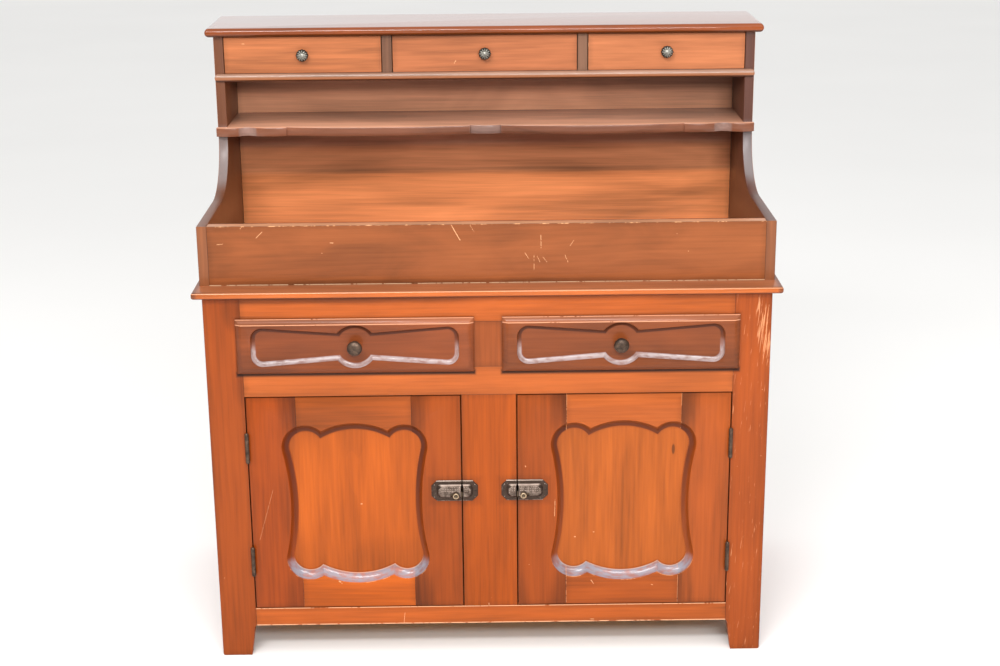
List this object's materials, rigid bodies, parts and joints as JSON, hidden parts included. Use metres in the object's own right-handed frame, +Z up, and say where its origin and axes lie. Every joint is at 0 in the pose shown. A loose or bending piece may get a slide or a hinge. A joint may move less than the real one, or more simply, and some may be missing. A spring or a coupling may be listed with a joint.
{
  "type": "dry sink cabinet",
  "caption": "Stained wooden dry sink cabinet: cupboard doors with scalloped recessed panels, lipped drawers, an open trough, a scalloped shelf and small drawers above.",
  "frame": {"origin": "on the floor, at the centre of the bounding box seen from above", "axes": "+X to the right seen from the front, -Y out of the front, +Z up"},
  "size_m": [1.127, 0.596, 1.208],
  "materials": {
    "warm_wood": "orange-brown stained wood, glossy clear coat",
    "brown_wood": "browner stained wood, worn clear coat",
    "panel_wood": "lighter orange stained wood, glossy clear coat",
    "inside_wood": "bare wood",
    "bronze": "dark antique bronze",
    "pewter": "dark antique metal with worn edges",
    "old_brass": "dull old brass"
  },
  "bodies": {
    "carcass": {"left_stile": "warm_wood", "right_stile": "warm_wood", "centre_stile": "warm_wood", "drawer_muntin": "warm_wood", "top_rail": "warm_wood", "middle_rail": "warm_wood", "bottom_rail": "warm_wood", "left_side_panel": "warm_wood", "right_side_panel": "warm_wood", "worktop": "warm_wood", "back_board": "brown_wood", "left_side_board": "brown_wood", "right_side_board": "brown_wood", "trough_front": "brown_wood", "top_board": "brown_wood", "drawer_deck": "brown_wood", "left_divider": "brown_wood", "right_divider": "brown_wood", "scalloped_shelf": "brown_wood", "cupboard_floor": "inside_wood", "dust_board": "inside_wood", "left_upper_hinge_frame_leaf": "bronze", "left_lower_hinge_frame_leaf": "bronze", "left_latch_keeper": "bronze", "right_upper_hinge_frame_leaf": "bronze", "right_lower_hinge_frame_leaf": "bronze", "right_latch_keeper": "bronze"},
    "left_door": {"left_door_hinge_stile": "warm_wood", "left_door_latch_stile": "warm_wood", "left_door_top_rail": "warm_wood", "left_door_bottom_rail": "warm_wood", "left_door_panel": "panel_wood", "left_latch_case": "bronze", "left_upper_hinge_door_leaf": "bronze", "left_lower_hinge_door_leaf": "bronze"},
    "left_bolt": {"left_latch_bolt": "old_brass"},
    "right_door": {"right_door_hinge_stile": "warm_wood", "right_door_latch_stile": "warm_wood", "right_door_top_rail": "warm_wood", "right_door_bottom_rail": "warm_wood", "right_door_panel": "panel_wood", "right_latch_case": "bronze", "right_upper_hinge_door_leaf": "bronze", "right_lower_hinge_door_leaf": "bronze"},
    "right_bolt": {"right_latch_bolt": "old_brass"},
    "left_small_drawer": {"left_small_drawer_front": "brown_wood", "left_small_drawer_box": "inside_wood", "left_small_drawer_knob": "pewter"},
    "middle_small_drawer": {"middle_small_drawer_front": "brown_wood", "middle_small_drawer_box": "inside_wood", "middle_small_drawer_knob": "pewter"},
    "right_small_drawer": {"right_small_drawer_front": "brown_wood", "right_small_drawer_box": "inside_wood", "right_small_drawer_knob": "pewter"},
    "left_large_drawer": {"left_large_drawer_front": "warm_wood", "left_large_drawer_box": "inside_wood", "left_large_drawer_knob": "bronze"},
    "right_large_drawer": {"right_large_drawer_front": "warm_wood", "right_large_drawer_box": "inside_wood", "right_large_drawer_knob": "bronze"}
  },
  "joints": [
    {"name": "left_door_hinge", "type": "hinge", "parent": "carcass", "child": "left_door", "pos_m": [-0.469, -0.2744, 0.3265], "axis": [0, 0, -1], "range_deg": [0, 165]},
    {"name": "left_bolt_slide", "type": "slide", "parent": "left_door", "child": "left_bolt", "axis": [-1, 0, 0], "range_m": [0, 0.008], "stiffness_N_per_m": 120, "springref_m": -0.004},
    {"name": "right_door_hinge", "type": "hinge", "parent": "carcass", "child": "right_door", "pos_m": [0.469, -0.2744, 0.3265], "axis": [0, 0, 1], "range_deg": [0, 165]},
    {"name": "right_bolt_slide", "type": "slide", "parent": "right_door", "child": "right_bolt", "axis": [1, 0, 0], "range_m": [0, 0.008], "stiffness_N_per_m": 120, "springref_m": -0.004},
    {"name": "left_small_drawer_slide", "type": "slide", "parent": "carcass", "child": "left_small_drawer", "axis": [0, -1, 0], "range_m": [0, 0.11]},
    {"name": "middle_small_drawer_slide", "type": "slide", "parent": "carcass", "child": "middle_small_drawer", "axis": [0, -1, 0], "range_m": [0, 0.11]},
    {"name": "right_small_drawer_slide", "type": "slide", "parent": "carcass", "child": "right_small_drawer", "axis": [0, -1, 0], "range_m": [0, 0.11]},
    {"name": "left_large_drawer_slide", "type": "slide", "parent": "carcass", "child": "left_large_drawer", "axis": [0, -1, 0], "range_m": [0, 0.36]},
    {"name": "right_large_drawer_slide", "type": "slide", "parent": "carcass", "child": "right_large_drawer", "axis": [0, -1, 0], "range_m": [0, 0.36]}
  ]
}
